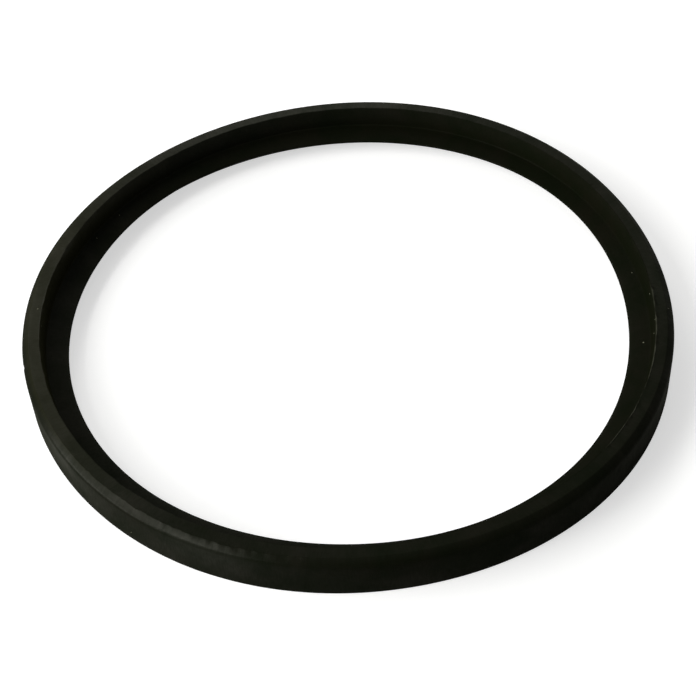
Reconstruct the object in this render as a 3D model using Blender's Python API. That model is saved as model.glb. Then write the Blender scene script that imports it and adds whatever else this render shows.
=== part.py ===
"""A moulded black rubber sealing ring with an L-shaped section, lying flat on its base.

The section is an upright rim with a chamfered outer edge and a flat narrow top, and a thin
lip that reaches inwards from the foot of the rim. The section is carried once around Z, and
the soft ring then settles slightly out of round, as it lies.

Units are metres, +Z is up, and the origin is the middle of the ring at its base.
"""
import math

import bmesh
import bpy
from mathutils import Vector

# The ring as a whole
OUTER_RADIUS = 0.0400
RIM_HEIGHT = 0.00538

# The rim: its thickness at the top, the chamfer on its outer edge and the lean of its inner face
RIM_THICKNESS = 0.00224
CHAMFER_WIDTH = 0.00084
CHAMFER_HEIGHT = 0.00067
INNER_FACE_LEAN = 0.00032

# The thin seam of flash that the mould leaves along the top inner edge of the rim
FLASH_HEIGHT = 0.00008
FLASH_THICKNESS = 0.00008
FLASH_FOOT = 0.00012

# The lip: how far it reaches in from the rim, its height at the rim and at its free edge,
# the upright face of that edge, and the bevel that undercuts it
LIP_REACH = 0.00250
LIP_ROOT_HEIGHT = 0.00268
LIP_EDGE_HEIGHT = 0.00208
LIP_EDGE_FACE = 0.00028
UNDERCUT_WIDTH = 0.00194

# Rounded edges and corners of the section
BASE_EDGE_RADIUS = 0.00012
CHAMFER_EDGE_RADIUS = 0.00070
SHOULDER_RADIUS = 0.00018
ROOT_FILLET_RADIUS = 0.00020
LIP_EDGE_RADIUS = 0.00010

# The soft ring lies a little out of round. Each row is a number of lobes, how far they swell
# past the true circle, and the direction of the first lobe in degrees from +X. The row with
# one lobe only sets the ring beside the true circle, so that its middle is at the origin.
SETTLED_LOBES = (
    (1, 0.00023, 0.0),
    (3, 0.00025, -51.0),
    (4, 0.00014, -32.0),
    (5, 0.00004, 36.0),
)

# The thin lip waves a little more than the rim. Its free edge moves by all of this as well.
LIP_LOBES = (
    (1, 0.00015, 3.0),
    (3, 0.00008, 25.0),
    (4, 0.00023, 31.0),
)

# How finely curves are divided
STATIONS_ROUND_RING = 120
STEPS_PER_CORNER = 2

# A corner's arc uses at most this share of the shorter side next to it
LARGEST_SHARE_OF_SIDE = 0.45

RUBBER_COLOUR = (0.0085, 0.0090, 0.0065, 1.0)
RUBBER_ROUGHNESS = 0.55
SHARP_EDGE_ANGLE = math.radians(32.0)


def clear_scene():
    """Remove whatever the scene holds before the ring is made."""
    for scene_object in list(bpy.data.objects):
        bpy.data.objects.remove(scene_object, do_unlink=True)


def rubber_material():
    """Matte black rubber with a faint olive cast."""
    material = bpy.data.materials.new("black_rubber")
    material.use_nodes = True
    shader = material.node_tree.nodes["Principled BSDF"]
    shader.inputs["Base Color"].default_value = RUBBER_COLOUR
    shader.inputs["Roughness"].default_value = RUBBER_ROUGHNESS
    shader.inputs["Metallic"].default_value = 0.0
    material.diffuse_color = RUBBER_COLOUR
    return material


def section_corners():
    """Corners of the section as (distance from the axis, height, corner radius)."""
    outer = OUTER_RADIUS
    rim_inner = outer - RIM_THICKNESS
    root = rim_inner - INNER_FACE_LEAN
    lip_edge = root - LIP_REACH
    lip_underside = LIP_EDGE_HEIGHT - LIP_EDGE_FACE
    flash_top = RIM_HEIGHT + FLASH_HEIGHT
    return [
        (lip_edge + UNDERCUT_WIDTH, 0.0, 0.0),
        (outer, 0.0, BASE_EDGE_RADIUS),
        (outer, RIM_HEIGHT - CHAMFER_HEIGHT, CHAMFER_EDGE_RADIUS),
        (outer - CHAMFER_WIDTH, RIM_HEIGHT, SHOULDER_RADIUS),
        (rim_inner + FLASH_FOOT, RIM_HEIGHT, 0.0),
        (rim_inner + FLASH_THICKNESS, flash_top, 0.0),
        (rim_inner, flash_top, 0.0),
        (root, LIP_ROOT_HEIGHT, ROOT_FILLET_RADIUS),
        (lip_edge, LIP_EDGE_HEIGHT, LIP_EDGE_RADIUS),
        (lip_edge, lip_underside, LIP_EDGE_RADIUS),
    ]


def rounded_corner(before, corner, after, radius):
    """Points of the arc that rounds one corner, or the corner itself if it is sharp."""
    if radius <= 0.0:
        return [corner]
    to_before = (before - corner).normalized()
    to_after = (after - corner).normalized()
    half_angle = to_before.angle(to_after) / 2.0
    shorter_side = min((before - corner).length, (after - corner).length)
    setback = min(radius / math.tan(half_angle), LARGEST_SHARE_OF_SIDE * shorter_side)
    start = corner + to_before * setback
    end = corner + to_after * setback
    centre = corner + (to_before + to_after).normalized() * setback / math.cos(half_angle)
    start_arm = start - centre
    end_arm = end - centre
    sweep = math.pi - 2.0 * half_angle
    points = []
    for step in range(STEPS_PER_CORNER + 1):
        share = step / STEPS_PER_CORNER
        arm = start_arm * math.sin((1.0 - share) * sweep) + end_arm * math.sin(share * sweep)
        points.append(centre + arm / math.sin(sweep))
    return points


def section_outline():
    """The closed outline of the section, with its corners rounded."""
    corners = section_corners()
    places = [Vector((distance, height)) for distance, height, radius in corners]
    outline = []
    for index, (_, _, radius) in enumerate(corners):
        before = places[index - 1]
        after = places[(index + 1) % len(places)]
        outline.extend(rounded_corner(before, places[index], after, radius))
    return outline


def lobed_swell(lobe_rows, direction):
    """How far rows of lobes swell past the true circle in a direction given in radians."""
    swell = 0.0
    for lobes, height, heading in lobe_rows:
        swell += height * math.cos(lobes * (direction - math.radians(heading)))
    return swell


def share_of_lip(distance):
    """How far out on the lip a distance from the axis is: 0 at its root, 1 at its free edge."""
    root = OUTER_RADIUS - RIM_THICKNESS - INNER_FACE_LEAN
    return min(1.0, max(0.0, (root - distance) / LIP_REACH))


def carry_section_round(ring_mesh, outline):
    """Draw the section at +X and spin it once around the ring's axis."""
    corners = [ring_mesh.verts.new((point.x, 0.0, point.y)) for point in outline]
    sides = []
    for index, corner in enumerate(corners):
        sides.append(ring_mesh.edges.new((corner, corners[(index + 1) % len(corners)])))
    bmesh.ops.spin(
        ring_mesh,
        geom=corners + sides,
        cent=(0.0, 0.0, 0.0),
        axis=(0.0, 0.0, 1.0),
        angle=2.0 * math.pi,
        steps=STATIONS_ROUND_RING,
        use_merge=True,
    )
    bmesh.ops.recalc_face_normals(ring_mesh, faces=ring_mesh.faces)


def settle_out_of_round(ring_mesh):
    """Move each station of the ring in or out by the settled shape, and the lip by its own."""
    for vertex in ring_mesh.verts:
        from_axis = Vector((vertex.co.x, vertex.co.y, 0.0))
        outwards = from_axis.normalized()
        direction = math.atan2(outwards.y, outwards.x)
        swell = lobed_swell(SETTLED_LOBES, direction)
        swell += lobed_swell(LIP_LOBES, direction) * share_of_lip(from_axis.length)
        vertex.co += outwards * swell


def build_sealing_ring():
    """Make the one-piece ring as a closed mesh."""
    ring_mesh = bmesh.new()
    carry_section_round(ring_mesh, section_outline())
    settle_out_of_round(ring_mesh)
    mesh = bpy.data.meshes.new("sealing_ring")
    ring_mesh.to_mesh(mesh)
    ring_mesh.free()
    mesh.materials.append(rubber_material())
    mesh.shade_smooth()
    mesh.set_sharp_from_angle(angle=SHARP_EDGE_ANGLE)
    sealing_ring = bpy.data.objects.new("sealing_ring", mesh)
    bpy.context.scene.collection.objects.link(sealing_ring)
    return sealing_ring


clear_scene()
build_sealing_ring()
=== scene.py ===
import math

import bmesh
import bpy
from mathutils import Matrix, Vector
from mathutils.bvhtree import BVHTree


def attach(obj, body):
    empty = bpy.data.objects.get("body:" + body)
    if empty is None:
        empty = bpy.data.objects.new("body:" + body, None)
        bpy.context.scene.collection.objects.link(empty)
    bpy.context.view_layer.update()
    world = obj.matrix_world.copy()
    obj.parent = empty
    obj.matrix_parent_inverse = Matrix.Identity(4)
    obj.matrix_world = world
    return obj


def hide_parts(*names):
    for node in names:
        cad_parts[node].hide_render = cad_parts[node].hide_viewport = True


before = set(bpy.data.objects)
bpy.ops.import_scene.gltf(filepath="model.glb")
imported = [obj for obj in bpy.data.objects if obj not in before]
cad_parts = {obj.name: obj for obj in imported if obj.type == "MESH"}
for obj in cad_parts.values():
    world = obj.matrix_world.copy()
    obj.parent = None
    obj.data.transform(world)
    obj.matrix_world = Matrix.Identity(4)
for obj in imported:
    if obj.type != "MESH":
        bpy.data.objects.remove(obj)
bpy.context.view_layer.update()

# Camera
# The ring fills the square picture, seen from the front at a little over 46 degrees above the
# table with a long lens, and the camera is held a few degrees off level.
view_elevation = math.radians(46.55)
view_roll = math.radians(3.70)
view_distance = 0.200
view_target = Vector((-0.00002, -0.00300, 0.0))
lens_length = 83.13
sensor_width = 36.0
nearest_seen = 0.01

level_right = Vector((1.0, 0.0, 0.0))
level_back = Vector((0.0, -math.cos(view_elevation), math.sin(view_elevation)))
level_up = level_back.cross(level_right)
rolled_right = level_right * math.cos(view_roll) - level_up * math.sin(view_roll)
rolled_up = level_right * math.sin(view_roll) + level_up * math.cos(view_roll)
camera_data = bpy.data.cameras.new("picture_camera")
camera_data.lens = lens_length
camera_data.sensor_width = sensor_width
camera_data.clip_start = nearest_seen
camera = bpy.data.objects.new("picture_camera", camera_data)
turn = Matrix((rolled_right, rolled_up, level_back)).transposed()
camera.matrix_world = Matrix.Translation(view_target + level_back * view_distance) @ turn.to_4x4()
bpy.context.scene.collection.objects.link(camera)
bpy.context.scene.camera = camera

# Moulded ring
# One piece of matte black rubber, moulded with an L-shaped section: an upright rim with a
# chamfered edge, and a thin lip that reaches in from its foot. It lies a little out of round,
# its flash still stands on the right, and its chamfer was trimmed by hand at the front left.
ring_radius = 0.03998
rim_height = 0.00538
rim_thickness = 0.00224
chamfer_width = 0.00084
chamfer_height = 0.00067
inner_face_lean = 0.00032
flash_height = 0.00008
flash_thickness = 0.00008
flash_foot = 0.00012
lip_reach = 0.00250
lip_root_height = 0.00268
lip_edge_height = 0.00208
lip_edge_face = 0.00028
undercut_width = 0.00194
base_edge_radius = 0.00012
chamfer_edge_radius = 0.00070
shoulder_radius = 0.00018
root_fillet_radius = 0.00020
lip_edge_radius = 0.00010
steps_per_corner = 5
longest_step = 0.0005
stations_round_ring = 900
seam_gap = 0.000001
sharp_edge = math.radians(40.0)

# Lobes of the ring as it lies, and more of them on its lip alone: how many lobes, how far they
# swell past the true circle, and the direction of the first one in degrees from +X.
settled_lobes = {
    "Ring": ((1, 0.00023, 0.0), (3, 0.00025, -51.0), (4, 0.00014, -32.0), (5, 0.00004, 36.0)),
    "Lip": ((1, 0.00015, 3.0), (3, 0.00008, 25.0), (4, 0.00023, 31.0)),
}

# Corners of the section: distance from the axis, height, radius, and the part they belong to.
rim_inner = ring_radius - rim_thickness
root_inner = rim_inner - inner_face_lean
lip_inner = root_inner - lip_reach
flash_top = rim_height + flash_height
section_corners = [
    (lip_inner + undercut_width, 0.0, 0.0, "wall"),
    (ring_radius, 0.0, base_edge_radius, "wall"),
    (ring_radius, rim_height - chamfer_height, chamfer_edge_radius, "crest"),
    (ring_radius - chamfer_width, rim_height, shoulder_radius, "top"),
    (rim_inner + flash_foot, rim_height, 0.0, "top"),
    (rim_inner + flash_thickness, flash_top, 0.0, "wall"),
    (rim_inner, flash_top, 0.0, "wall"),
    (root_inner, lip_root_height, root_fillet_radius, "lip"),
    (lip_inner, lip_edge_height, lip_edge_radius, "lip"),
    (lip_inner, lip_edge_height - lip_edge_face, lip_edge_radius, "lip"),
]
shoulder_corner = 3
section_parts = ("wall", "crest", "top", "lip")


def round_off(before, corner, after, radius):
    """Points of the arc that rounds one corner of the section, or the corner if it is sharp."""
    if radius <= 0.0:
        return [corner]
    to_before = (before - corner).normalized()
    to_after = (after - corner).normalized()
    half_angle = to_before.angle(to_after) / 2.0
    setback = radius / math.tan(half_angle)
    centre = corner + (to_before + to_after).normalized() * radius / math.sin(half_angle)
    start_arm = corner + to_before * setback - centre
    end_arm = corner + to_after * setback - centre
    sweep_angle = math.pi - 2.0 * half_angle
    points = []
    for step in range(steps_per_corner + 1):
        turned = step / steps_per_corner * sweep_angle
        arm = start_arm * math.sin(sweep_angle - turned) + end_arm * math.sin(turned)
        points.append(centre + arm / math.sin(sweep_angle))
    return points


section_points = []
for index, (distance, height, radius, part) in enumerate(section_corners):
    before = Vector(section_corners[index - 1][:2])
    after = Vector(section_corners[(index + 1) % len(section_corners)][:2])
    carried = [float(part == name) for name in section_parts] + [float(index == shoulder_corner)]
    for point in round_off(before, Vector((distance, height)), after, radius):
        section_points.append((point, carried))
outline = []
for index, (point, carried) in enumerate(section_points):
    next_point, next_carried = section_points[(index + 1) % len(section_points)]
    steps = max(1, math.ceil((next_point - point).length / longest_step))
    for step in range(steps):
        share = step / steps
        blended = [here + (there - here) * share for here, there in zip(carried, next_carried)]
        outline.append((point.lerp(next_point, share), blended))

section_mesh = bpy.data.meshes.new("ring_section")
section_mesh.from_pydata(
    [(point.x - ring_radius, -point.y, 0.0) for point, _ in outline],
    [(index, (index + 1) % len(outline)) for index in range(len(outline))],
    [],
)

# Values that the section's points carry round the ring, for its shape, its sheen and its painted
# light.
inner_face_from = root_inner - 0.00005
inner_face_to = rim_inner + 0.00001
flash_from = rim_height + 0.5 * flash_height
point_values = {
    "on_flash": [float(point.y > flash_from) for point, _ in outline],
    "out_on_lip": [
        min(1.0, max(0.0, (root_inner - point.x) / lip_reach)) for point, _ in outline
    ],
    "on_shoulder": [carried[-1] for _, carried in outline],
    "on_inner_face": [
        float(inner_face_from < point.x < inner_face_to and point.y > lip_root_height)
        for point, _ in outline
    ],
}
for number, name in enumerate(section_parts):
    point_values[f"on_{name}"] = [carried[number] for _, carried in outline]
for name, values in point_values.items():
    section_mesh.attributes.new(name, "FLOAT", "POINT").data.foreach_set("value", values)
section_object = bpy.data.objects.new("ring_section", section_mesh)
bpy.context.scene.collection.objects.link(section_object)


def make_tree(name, source, values, result):
    """A tree with a mesh going in and one coming out, and a named input for each value."""
    tree = bpy.data.node_groups.new(name, "GeometryNodeTree")
    tree.interface.new_socket(name=source, in_out="INPUT", socket_type="NodeSocketGeometry")
    identifiers = {}
    for label, value in values.items():
        kind = "NodeSocketInt" if isinstance(value, int) else "NodeSocketFloat"
        socket = tree.interface.new_socket(name=label, in_out="INPUT", socket_type=kind)
        socket.default_value = value
        identifiers[socket.identifier] = value
    tree.interface.new_socket(name=result, in_out="OUTPUT", socket_type="NodeSocketGeometry")
    return tree, identifiers


def make_piece(source, tree, identifiers, name):
    """Run a node tree on an object and keep the result as a plain mesh at the origin."""
    modifier = source.modifiers.new(tree.name, "NODES")
    modifier.node_group = tree
    for identifier, value in identifiers.items():
        modifier[identifier] = value
    depsgraph = bpy.context.evaluated_depsgraph_get()
    mesh = bpy.data.meshes.new_from_object(source.evaluated_get(depsgraph), depsgraph=depsgraph)
    source.modifiers.remove(modifier)
    mesh.name = name
    piece = bpy.data.objects.new(name, mesh)
    bpy.context.scene.collection.objects.link(piece)
    return piece


def add_node(tree, kind, links=None, **settings):
    """A node with its settings made and its inputs filled from values or other sockets."""
    node = tree.nodes.new(kind)
    for name, value in settings.items():
        setattr(node, name, value)
    for socket, value in (links or {}).items():
        if isinstance(value, bpy.types.NodeSocket):
            tree.links.new(value, node.inputs[socket])
        else:
            node.inputs[socket].default_value = value
    return node


def calculate(tree, operation, *values):
    """The result of one Math node."""
    node = add_node(tree, "ShaderNodeMath", dict(enumerate(values)), operation=operation)
    return node.outputs["Value"]


def total(tree, first, *others):
    """The sum of several values."""
    for other in others:
        first = calculate(tree, "ADD", first, other)
    return first


def product(tree, first, *others):
    """Several values multiplied together."""
    for other in others:
        first = calculate(tree, "MULTIPLY", first, other)
    return first


def remap(tree, value, source, target=(0.0, 1.0), kind="LINEAR"):
    """A value carried from one range to another and held inside it."""
    ranges = dict(zip(("From Min", "From Max", "To Min", "To Max"), (*source, *target)))
    node = add_node(
        tree, "ShaderNodeMapRange", {"Value": value, **ranges}, interpolation_type=kind,
    )
    return node.outputs["Result"]


def noise(tree, spot, scale, detail, roughness=0.5, distortion=0.0):
    """Smooth noise from 0 to 1 that changes from place to place."""
    node = add_node(
        tree, "ShaderNodeTexNoise",
        {"Vector": spot, "Scale": scale, "Detail": detail, "Roughness": roughness,
         "Distortion": distortion},
    )
    return node.outputs[0]


# What the moulding, the trimming by hand and the wear do to the ring, in metres and radians, and
# the painted shade at the lip's root and the painted light at the left.
sweep_values = {
    "Stations": stations_round_ring,
    "Ring Radius": ring_radius,
    "Moulding Ripple": 0.00003,
    "Ripples per Metre": 160.0,
    "Flash Height": flash_height,
    "Flash Tears per Metre": 420.0,
    "Flash Heading": math.radians(-22.0),
    "Flash Reach": math.radians(23.0),
    "Flash Wave": 0.00030,
    "Trim Wave": 0.00050,
    "Trim Waves per Metre": 950.0,
    "Trim Heading": math.radians(-121.0),
    "Trim Reach": math.radians(28.0),
    "Nick Depth": 0.00007,
    "Nick Heading": math.radians(-170.0),
    "Nick Reach": math.radians(0.6),
    # The lip's sheen is weaker at its root: painted shade in the crease by the inner face.
    "Lip Root Painted Shade": 0.6,
    "Lip Edge Sheen": 1.1,
    "Painted Light Heading": math.radians(178.0),
    "Painted Light Reach": math.radians(60.0),
    "Rim Top Painted Light": 0.55,
}
tear_edges = (0.38, 0.62)
torn_heights = (0.1, 1.0)
painted_light_flat_share = 0.2
for part, lobe_rows in settled_lobes.items():
    for lobes, swell, heading in lobe_rows:
        sweep_values[f"{part} Swell {lobes}"] = swell
        sweep_values[f"{part} Heading {lobes}"] = math.radians(heading)
sweep, sweep_inputs = make_tree("carry_section_round", "Section", sweep_values, "Ring")

# The section is carried round a level circle of many stations.
given = add_node(sweep, "NodeGroupInput").outputs
section_curve = add_node(sweep, "GeometryNodeMeshToCurve", {"Mesh": given["Section"]})
path = add_node(
    sweep, "GeometryNodeCurvePrimitiveCircle",
    {"Resolution": given["Stations"], "Radius": given["Ring Radius"]},
)
upright_path = add_node(
    sweep, "GeometryNodeSetCurveNormal", {"Curve": path.outputs["Curve"]}, mode="Z_UP",
)
swept = add_node(
    sweep, "GeometryNodeCurveToMesh",
    {"Curve": upright_path.outputs["Curve"], "Profile Curve": section_curve.outputs["Curve"]},
)
place = add_node(sweep, "GeometryNodeInputPosition").outputs["Position"]
axes = add_node(sweep, "ShaderNodeSeparateXYZ", {"Vector": place})
direction = calculate(sweep, "ARCTAN2", axes.outputs["Y"], axes.outputs["X"])
outwards = add_node(
    sweep, "ShaderNodeCombineXYZ",
    {"X": calculate(sweep, "COSINE", direction), "Y": calculate(sweep, "SINE", direction)},
).outputs["Vector"]


def point_value(name):
    """A value that the section's points carry round the ring."""
    node = add_node(
        sweep, "GeometryNodeInputNamedAttribute", {"Name": name}, data_type="FLOAT",
    )
    return node.outputs["Attribute"]


def close_to(heading, reach, flat_share=0.7):
    """1 in the middle share of a stretch of the ring, falling smoothly to 0 at its ends."""
    aside = calculate(sweep, "SUBTRACT", direction, given[heading])
    aside = calculate(sweep, "ABSOLUTE", calculate(sweep, "WRAP", aside, math.pi, -math.pi))
    share_of_reach = calculate(sweep, "DIVIDE", aside, given[reach])
    return remap(sweep, share_of_reach, (flat_share, 1.0), (1.0, 0.0), "SMOOTHSTEP")


def wave(waves_per_metre, height, detail):
    """A shift in or out, of half a height at most, that changes from place to place."""
    centred = calculate(sweep, "SUBTRACT", noise(sweep, place, given[waves_per_metre], detail), 0.5)
    return product(sweep, centred, given[height])


def store(geometry, name, value):
    """The ring with a value kept on its points for the material to read."""
    node = add_node(
        sweep, "GeometryNodeStoreNamedAttribute",
        {"Geometry": geometry, "Name": name, "Value": value}, data_type="FLOAT", domain="POINT",
    )
    return node.outputs["Geometry"]


# The ring moves in and out by its lobes, a slight ripple, the uneven trimming and one nick.
swells = {}
for part, lobe_rows in settled_lobes.items():
    swells[part] = 0.0
    for lobes, _, _ in lobe_rows:
        turned = calculate(sweep, "SUBTRACT", direction, given[f"{part} Heading {lobes}"])
        lobe = calculate(sweep, "COSINE", product(sweep, turned, float(lobes)))
        swell = product(sweep, lobe, given[f"{part} Swell {lobes}"])
        swells[part] = total(sweep, swells[part], swell)
lip_shift = product(sweep, swells["Lip"], point_value("out_on_lip"))
ripple_shift = wave("Ripples per Metre", "Moulding Ripple", detail=2.0)
trimmed = product(sweep, close_to("Trim Heading", "Trim Reach"), point_value("on_shoulder"))
trim_wave = wave("Trim Waves per Metre", "Trim Wave", detail=1.0)
trim_shift = product(sweep, trim_wave, trimmed)
nicked = product(sweep, close_to("Nick Heading", "Nick Reach"), point_value("on_crest"))
nick_shift = product(sweep, nicked, given["Nick Depth"])
flash_wave = wave("Flash Tears per Metre", "Flash Wave", detail=1.0)
flash_shift = product(sweep, flash_wave, point_value("on_flash"))
shift = total(sweep, swells["Ring"], lip_shift, ripple_shift, trim_shift)
shift = total(sweep, calculate(sweep, "SUBTRACT", shift, nick_shift), flash_shift)
settle = add_node(
    sweep, "ShaderNodeVectorMath", {0: outwards, "Scale": shift}, operation="SCALE",
).outputs["Vector"]

# The flash stands in torn stretches on the right, and lies flat elsewhere.
torn = noise(sweep, place, given["Flash Tears per Metre"], detail=3.0, roughness=0.7)
torn_share = remap(sweep, torn, tear_edges, torn_heights)
standing = product(sweep, torn_share, close_to("Flash Heading", "Flash Reach"))
flash_drop = product(sweep, calculate(sweep, "SUBTRACT", 1.0, standing), given["Flash Height"])
drop = product(sweep, flash_drop, point_value("on_flash"), -1.0)
drop_vector = add_node(sweep, "ShaderNodeCombineXYZ", {"Z": drop}).outputs["Vector"]
moved = add_node(
    sweep, "ShaderNodeVectorMath", {0: settle, 1: drop_vector}, operation="ADD",
).outputs["Vector"]

# The weight of each part's sheen right round the ring, set to match the photo: a real sheen, whose
# rise and fall by heading paints highlights and shade. Each pair is a heading in degrees and the
# weight of the sheen there, and a smooth curve joins the pairs.
sheen_with_painted_light_by_heading = {
    "wall": (
        (-180, 0.130), (-165, 0.095), (-146, 0.070), (-130, 0.086), (-117, 0.080), (-105, 0.062),
        (-92, 0.063), (-79, 0.052), (-62, 0.038), (-37, 0.018), (0, 0.034), (28, 0.026),
        (60, 0.054), (113, 0.062), (150, 0.070), (180, 0.130),
    ),
    "crest": (
        (-180, 0.078), (-165, 0.082), (-155, 0.088), (-148, 0.132), (-141, 0.096), (-130, 0.066),
        (-115, 0.160), (-104, 0.074), (-92, 0.038), (-80, 0.024), (-62, 0.028), (-40, 0.040),
        (-16, 0.066), (0, 0.064), (27, 0.044), (60, 0.048), (87, 0.062), (113, 0.057),
        (145, 0.034), (180, 0.078),
    ),
    "top": (
        (-180, 0.076), (-166, 0.082), (-142, 0.088), (-128, 0.085), (-115, 0.073), (-104, 0.080),
        (-92, 0.078), (-80, 0.072), (-64, 0.051), (-40, 0.053), (-16, 0.055), (0, 0.074),
        (26, 0.070), (59, 0.095), (87, 0.140), (113, 0.108), (144, 0.066), (180, 0.076),
    ),
    "lip": (
        (-180, 0.047), (-143, 0.037), (-129, 0.041), (-100, 0.030), (-63, 0.014), (-20, 0.016),
        (2, 0.022), (28, 0.011), (61, 0.027), (87, 0.036), (113, 0.035), (143, 0.037),
        (180, 0.047),
    ),
}
heading_share = remap(sweep, direction, (-math.pi, math.pi))
# Painted shade: the lip's sheen grows from its root to its edge, so the crease looks darker.
lip_painted_shade_to_sheen = (given["Lip Root Painted Shade"], given["Lip Edge Sheen"])
lip_sheen_with_painted_shade = remap(sweep, point_value("out_on_lip"), (0.0, 1.0), lip_painted_shade_to_sheen)
sheen_with_painted_light_here = 0.0
for name, pairs in sheen_with_painted_light_by_heading.items():
    curve = add_node(sweep, "ShaderNodeFloatCurve", {"Value": heading_share})
    handles = curve.mapping.curves[0].points
    for _ in range(len(pairs) - len(handles)):
        handles.new(0.5, 0.5)
    for handle, (heading, weight) in zip(handles, pairs):
        handle.location = ((heading + 180.0) / 360.0, weight)
        handle.handle_type = "AUTO_CLAMPED"
    curve.mapping.update()
    part_sheen_with_painted_light = product(sweep, curve.outputs["Value"], point_value(f"on_{name}"))
    if name == "lip":
        part_sheen_with_painted_light = product(sweep, part_sheen_with_painted_light, lip_sheen_with_painted_shade)
    sheen_with_painted_light_here = total(sweep, sheen_with_painted_light_here, part_sheen_with_painted_light)

# Painted light: a paler colour on the inner face at the left, and more thinly on the top of the rim
# there, stands in for the light that falls from the left.
top_painted_light = product(sweep, point_value("on_top"), given["Rim Top Painted Light"])
painted_left_light_share = total(sweep, point_value("on_inner_face"), top_painted_light)
painted_light_near = close_to("Painted Light Heading", "Painted Light Reach", painted_light_flat_share)
painted_left_light_here = product(sweep, painted_light_near, painted_left_light_share)

rubber = bpy.data.materials.new("black_rubber")
# Painted highlight: the standing flash is made pale, for the thin line of light its face catches.
painted_flash_highlight_here = product(sweep, standing, point_value("on_flash"))
marked = store(swept.outputs["Mesh"], "painted_flash_highlight", painted_flash_highlight_here)
# The sheen's weight, with its painted highlights and painted shade, is kept for the material.
marked = store(marked, "sheen_with_painted_light", sheen_with_painted_light_here)
marked = store(marked, "painted_left_light", painted_left_light_here)
settled = add_node(sweep, "GeometryNodeSetPosition", {"Geometry": marked, "Offset": moved})
whole = add_node(
    sweep, "GeometryNodeRealizeInstances", {"Geometry": settled.outputs["Geometry"]},
)
coated = add_node(
    sweep, "GeometryNodeSetMaterial",
    {"Geometry": whole.outputs["Geometry"], "Material": rubber},
)
add_node(sweep, "NodeGroupOutput", {"Ring": coated.outputs["Geometry"]})

moulded_ring = make_piece(section_object, sweep, sweep_inputs, "moulded_ring")
bpy.data.objects.remove(section_object, do_unlink=True)
closing = bmesh.new()
closing.from_mesh(moulded_ring.data)
bmesh.ops.remove_doubles(closing, verts=closing.verts, dist=seam_gap)
bmesh.ops.recalc_face_normals(closing, faces=closing.faces)
closing.to_mesh(moulded_ring.data)
closing.free()
moulded_ring.data.shade_smooth()
moulded_ring.data.set_sharp_from_angle(angle=sharp_edge)

# The rubber is nearly black with olive patches, with painted light making it paler on the left and
# a painted highlight making its standing flash pale. Its soft sheen is uneven, and finely streaked
# round the ring where it was rubbed, and its weights by heading carry painted highlights and shade.
dark_tint = (0.0031, 0.0042, 0.0021, 1.0)
olive_tint = (0.0043, 0.0044, 0.0027, 1.0)
# The paler colour of the painted light at the left.
painted_light_tint = (0.0112, 0.0112, 0.0056, 1.0)
# The pale colour of the flash's painted highlight.
flash_highlight_tint = (0.0380, 0.0390, 0.0320, 1.0)
patches_per_metre = 190.0
patch_edges = (0.36, 0.64)
sheen_roughness = 0.30
patch_span = (0.3, 0.7)
patchy_sheen = (0.65, 1.35)
streaks_per_radian = 220.0
streaks_per_metre = 900.0
streak_span = (0.35, 0.7)
streaked_sheen = (0.86, 1.28)
grains_per_metre = 2600.0
grain_height = 0.00004
grain_strength = 0.25


def blend(tree, factor, first, second):
    """A colour between two others, each of them a colour or a socket."""
    node = add_node(
        tree, "ShaderNodeMix", {"Factor": factor, "A": first, "B": second}, data_type="RGBA",
    )
    return node.outputs["Result"]


def kept_value(name):
    """A value that is kept on the ring's points."""
    return add_node(nodes, "ShaderNodeAttribute", attribute_name=name).outputs["Fac"]


rubber.use_nodes = True
nodes = rubber.node_tree
shader = nodes.nodes["Principled BSDF"]
shader.inputs["Metallic"].default_value = 0.0
shader.inputs["Specular IOR Level"].default_value = 0.0
shader.inputs["Coat Roughness"].default_value = sheen_roughness
coordinates = add_node(nodes, "ShaderNodeTexCoord").outputs["Object"]
mottle = noise(
    nodes, coordinates, patches_per_metre, detail=4.0, roughness=0.6, distortion=0.4,
)
tint = blend(nodes, remap(nodes, mottle, patch_edges), dark_tint, olive_tint)
# Painted light on the left side.
tint = blend(nodes, kept_value("painted_left_light"), tint, painted_light_tint)
# Painted highlight on the standing flash.
tint = blend(nodes, kept_value("painted_flash_highlight"), tint, flash_highlight_tint)
nodes.links.new(tint, shader.inputs["Base Color"])
surface_axes = add_node(nodes, "ShaderNodeSeparateXYZ", {"Vector": coordinates})
around = calculate(nodes, "ARCTAN2", surface_axes.outputs["Y"], surface_axes.outputs["X"])
far_out = add_node(nodes, "ShaderNodeVectorMath", {0: coordinates}, operation="LENGTH")
streak_place = add_node(
    nodes, "ShaderNodeCombineXYZ",
    {"X": product(nodes, around, streaks_per_radian),
     "Y": product(nodes, far_out.outputs["Value"], streaks_per_metre),
     "Z": product(nodes, surface_axes.outputs["Z"], streaks_per_metre)},
)
streaks = noise(nodes, streak_place.outputs["Vector"], scale=1.0, detail=3.0)
# The coat's weight: the kept sheen with its painted highlights and shade, uneven at random in
# patches and streaks.
coat_weight_with_painted_light = product(
    nodes, kept_value("sheen_with_painted_light"), remap(nodes, mottle, patch_span, patchy_sheen),
    remap(nodes, streaks, streak_span, streaked_sheen),
)
nodes.links.new(coat_weight_with_painted_light, shader.inputs["Coat Weight"])
grain = noise(nodes, coordinates, grains_per_metre, detail=3.0, roughness=0.6)
bump = add_node(
    nodes, "ShaderNodeBump",
    {"Height": grain, "Strength": grain_strength, "Distance": grain_height},
)
nodes.links.new(bump.outputs["Normal"], shader.inputs["Normal"])
nodes.links.new(bump.outputs["Normal"], shader.inputs["Coat Normal"])

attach(moulded_ring, "root")
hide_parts("sealing_ring")

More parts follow.
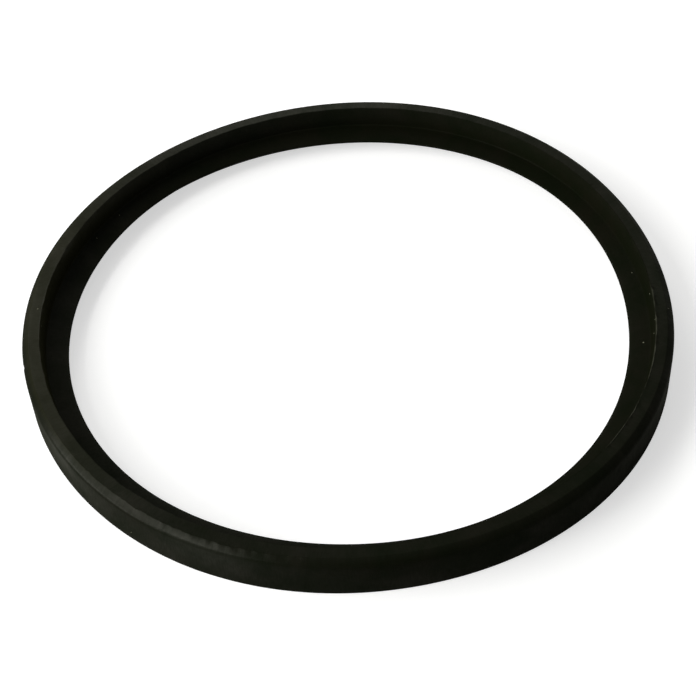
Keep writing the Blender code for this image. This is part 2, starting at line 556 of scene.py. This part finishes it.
# Dust flecks
# A few pale crumbs of dust that cling to the rubber, most of them on the right. Each is a
# small uneven chip laid on the ring's surface.
fleck_breadth = 0.7
crumbs_per_metre = 12000.0
dust_grains_per_metre = 9000.0
dull_dust = (0.06, 0.06, 0.045, 1.0)
pale_dust_tint = (0.17, 0.175, 0.14, 1.0)
dust_roughness = 0.9
dust_specular = 0.1

# Each fleck's heading in degrees, its distance from the axis, its height and its width.
dust_places = [
    (7.0, 0.0367, 0.0026, 0.00017),
    (-2.0, 0.0376, 0.0044, 0.00018),
    (-7.0, 0.0394, 0.0052, 0.00022),
    (-9.6, 0.0377, 0.0050, 0.00017),
    (-12.0, 0.0376, 0.0042, 0.00018),
    (-12.0, 0.0366, 0.0025, 0.00023),
    (-130.0, 0.0400, 0.0013, 0.00018),
    (-179.3, 0.0376, 0.0048, 0.00017),
    (177.0, 0.0382, 0.0054, 0.00020),
    (151.5, 0.0366, 0.0025, 0.00014),
    (143.5, 0.0366, 0.0025, 0.00014),
    (118.0, 0.0400, 0.0031, 0.00018),
    (71.0, 0.0400, 0.0016, 0.00016),
    (36.0, 0.0400, 0.0038, 0.00020),
]
ring_surface = BVHTree.FromObject(moulded_ring, bpy.context.evaluated_depsgraph_get())
spots = []
for heading, distance, height, width in dust_places:
    turned = math.radians(heading)
    near = Vector((distance * math.cos(turned), distance * math.sin(turned), height))
    spot, facing, _, _ = ring_surface.find_nearest(near)
    spots.append((spot, facing, width))
dust_mesh = bpy.data.meshes.new("dust_spots")
dust_mesh.from_pydata([spot for spot, _, _ in spots], [], [])
dust_mesh.attributes.new("facing", "FLOAT_VECTOR", "POINT").data.foreach_set(
    "vector", [part for _, facing, _ in spots for part in facing],
)
dust_mesh.attributes.new("width", "FLOAT", "POINT").data.foreach_set(
    "value", [width for _, _, width in spots],
)
dust_object = bpy.data.objects.new("dust_spots", dust_mesh)
bpy.context.scene.collection.objects.link(dust_object)

pale_dust = bpy.data.materials.new("pale_dust")
pale_dust.use_nodes = True
dust_nodes = pale_dust.node_tree
dust_shader = dust_nodes.nodes["Principled BSDF"]
dust_shader.inputs["Roughness"].default_value = dust_roughness
dust_shader.inputs["Specular IOR Level"].default_value = dust_specular
dust_coordinates = add_node(dust_nodes, "ShaderNodeTexCoord").outputs["Object"]
dust_grain = noise(dust_nodes, dust_coordinates, dust_grains_per_metre, detail=2.0)
dust_tint = blend(dust_nodes, dust_grain, dull_dust, pale_dust_tint)
dust_nodes.links.new(dust_tint, dust_shader.inputs["Base Color"])

scatter_values = {"Flatness": 0.35, "Unevenness": 0.00006}
scatter, scatter_inputs = make_tree("lay_dust_flecks", "Spots", scatter_values, "Flecks")
dust_given = add_node(scatter, "NodeGroupInput").outputs
crumb = add_node(scatter, "GeometryNodeMeshIcoSphere", {"Radius": 0.5, "Subdivisions": 2})
fleck_facing = add_node(
    scatter, "GeometryNodeInputNamedAttribute", {"Name": "facing"}, data_type="FLOAT_VECTOR",
).outputs["Attribute"]
fleck_width = add_node(
    scatter, "GeometryNodeInputNamedAttribute", {"Name": "width"}, data_type="FLOAT",
).outputs["Attribute"]
laid = add_node(
    scatter, "FunctionNodeAlignRotationToVector", {"Vector": fleck_facing}, axis="Z",
).outputs["Rotation"]
shape = add_node(
    scatter, "ShaderNodeCombineXYZ",
    {"X": fleck_width, "Y": product(scatter, fleck_width, fleck_breadth),
     "Z": product(scatter, fleck_width, dust_given["Flatness"])},
).outputs["Vector"]
strewn = add_node(
    scatter, "GeometryNodeInstanceOnPoints",
    {"Points": dust_given["Spots"], "Instance": crumb.outputs["Mesh"], "Rotation": laid,
     "Scale": shape},
)
flecks = add_node(
    scatter, "GeometryNodeRealizeInstances", {"Geometry": strewn.outputs["Instances"]},
)
crumb_place = add_node(scatter, "GeometryNodeInputPosition").outputs["Position"]
crumbling = add_node(
    scatter, "ShaderNodeTexNoise",
    {"Vector": crumb_place, "Scale": crumbs_per_metre, "Detail": 1.0},
).outputs["Color"]
centred = add_node(
    scatter, "ShaderNodeVectorMath", {0: crumbling, 1: (0.5, 0.5, 0.5)}, operation="SUBTRACT",
)
uneven = add_node(
    scatter, "ShaderNodeVectorMath",
    {0: centred.outputs["Vector"], "Scale": dust_given["Unevenness"]}, operation="SCALE",
)
crumbled = add_node(
    scatter, "GeometryNodeSetPosition",
    {"Geometry": flecks.outputs["Geometry"], "Offset": uneven.outputs["Vector"]},
)
dusted = add_node(
    scatter, "GeometryNodeSetMaterial",
    {"Geometry": crumbled.outputs["Geometry"], "Material": pale_dust},
)
add_node(scatter, "NodeGroupOutput", {"Flecks": dusted.outputs["Geometry"]})

dust_flecks = make_piece(dust_object, scatter, scatter_inputs, "dust_flecks")
bpy.data.objects.remove(dust_object, do_unlink=True)
dust_flecks.data.shade_smooth()
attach(dust_flecks, "root")

# Floor
# A plain white table top that keeps the ring's soft shadow. A faint light of its own brings it
# up to white for the camera and, slightly warm, in the ring's reflections.
floor_half = 1.5
floor_drop = 0.00003
table_tint = (0.60, 0.60, 0.60, 1.0)
table_tint_seen = (0.60, 0.60, 0.68, 1.0)
warm_white = (1.0, 1.0, 0.86, 1.0)
white = (1.0, 1.0, 1.0, 1.0)
lift_distances = (0.15, 0.9)
lift_near_and_far = (0.58, 1.0)


def seen_or_reflected(tree, rays):
    """1 for the rays that show the background, straight, in metal or through glass, or 0."""
    seen = calculate(tree, "MAXIMUM", rays["Is Camera Ray"], rays["Is Glossy Ray"])
    return calculate(tree, "MAXIMUM", seen, rays["Is Transmission Ray"])


floor_mesh = bpy.data.meshes.new("floor")
floor_mesh.from_pydata(
    [(-floor_half, -floor_half, 0.0), (floor_half, -floor_half, 0.0),
     (floor_half, floor_half, 0.0), (-floor_half, floor_half, 0.0)],
    [], [(0, 1, 2, 3)],
)
floor_mesh.transform(Matrix.Translation((0.0, 0.0, -floor_drop)))
floor = bpy.data.objects.new("floor", floor_mesh)
bpy.context.scene.collection.objects.link(floor)
white_table = bpy.data.materials.new("white_table")
white_table.use_nodes = True
table_nodes = white_table.node_tree
table_shader = table_nodes.nodes["Principled BSDF"]
table_shader.inputs["Roughness"].default_value = 1.0
table_shader.inputs["Specular IOR Level"].default_value = 0.0
rays = add_node(table_nodes, "ShaderNodeLightPath").outputs
table_colour = blend(table_nodes, rays["Is Camera Ray"], table_tint, table_tint_seen)
table_nodes.links.new(table_colour, table_shader.inputs["Base Color"])
table_place = add_node(table_nodes, "ShaderNodeTexCoord").outputs["Object"]
away = add_node(table_nodes, "ShaderNodeVectorMath", {0: table_place}, operation="LENGTH")
lift_share = remap(table_nodes, away.outputs["Value"], lift_distances, lift_near_and_far)
lift = add_node(
    table_nodes, "ShaderNodeEmission",
    {"Color": blend(table_nodes, rays["Is Camera Ray"], warm_white, white),
     "Strength": product(table_nodes, seen_or_reflected(table_nodes, rays), lift_share)},
)
lit = add_node(
    table_nodes, "ShaderNodeAddShader",
    {0: table_shader.outputs["BSDF"], 1: lift.outputs["Emission"]},
)
table_output = table_nodes.nodes["Material Output"]
table_nodes.links.new(lit.outputs["Shader"], table_output.inputs["Surface"])
floor_mesh.materials.append(white_table)

# Light
# A broad, slightly warm window at the left with a low strip of light under it, weak lamps at
# the front left and behind the ring, and almost no light from the white backdrop itself.
lamp_distance = 1.0
sky_share = 0.12

# Each lamp's direction in degrees clockwise from the back, its elevation in degrees, its width
# and height, and the share of white to which it lights a white table top.
lamps = {
    "window_light": (-98.0, 29.0, 0.75, 0.90, 0.62),
    "low_window_light": (-103.0, 7.0, 0.60, 0.20, 0.042),
    "front_left_light": (-120.0, 32.0, 0.36, 0.30, 0.10),
    "front_light": (-140.0, 30.0, 0.30, 0.30, 0.04),
    "back_left_light": (-29.0, 38.0, 0.24, 0.40, 0.10),
    "back_light": (-11.0, 34.0, 0.30, 0.30, 0.06),
    "low_back_light": (2.0, 15.0, 0.50, 0.25, 0.06),
    "back_right_light": (20.0, 42.0, 0.30, 0.40, 0.03),
}
for name, (azimuth, elevation, wide, high, share) in lamps.items():
    turned = math.radians(azimuth)
    raised = math.radians(elevation)
    level = math.cos(raised)
    heading = Vector((math.sin(turned) * level, math.cos(turned) * level, math.sin(raised)))
    facing = heading.to_track_quat("Z", "Y").to_matrix().to_4x4()
    lamp_data = bpy.data.lights.new(name, "AREA")
    lamp_data.shape = "RECTANGLE"
    lamp_data.size = wide
    lamp_data.size_y = high
    lamp_data.energy = share * math.pi ** 2 * lamp_distance ** 2 / heading.z
    lamp_data.color = warm_white[:3]
    lamp = bpy.data.objects.new(name, lamp_data)
    lamp.matrix_world = Matrix.Translation(heading * lamp_distance) @ facing
    lamp.visible_camera = False
    bpy.context.scene.collection.objects.link(lamp)

world = bpy.data.worlds.new("studio")
world.use_nodes = True
bpy.context.scene.world = world
sky = world.node_tree
sky.nodes.clear()
sky_rays = add_node(sky, "ShaderNodeLightPath").outputs
strength = add_node(
    sky, "ShaderNodeMix",
    {"Factor": seen_or_reflected(sky, sky_rays), "A": sky_share, "B": 1.0}, data_type="FLOAT",
)
backdrop = add_node(
    sky, "ShaderNodeBackground",
    {"Color": blend(sky, sky_rays["Is Camera Ray"], warm_white, white),
     "Strength": strength.outputs["Result"]},
)
add_node(sky, "ShaderNodeOutputWorld", {"Surface": backdrop.outputs["Background"]})

bpy.context.scene.view_settings.view_transform = "Standard"
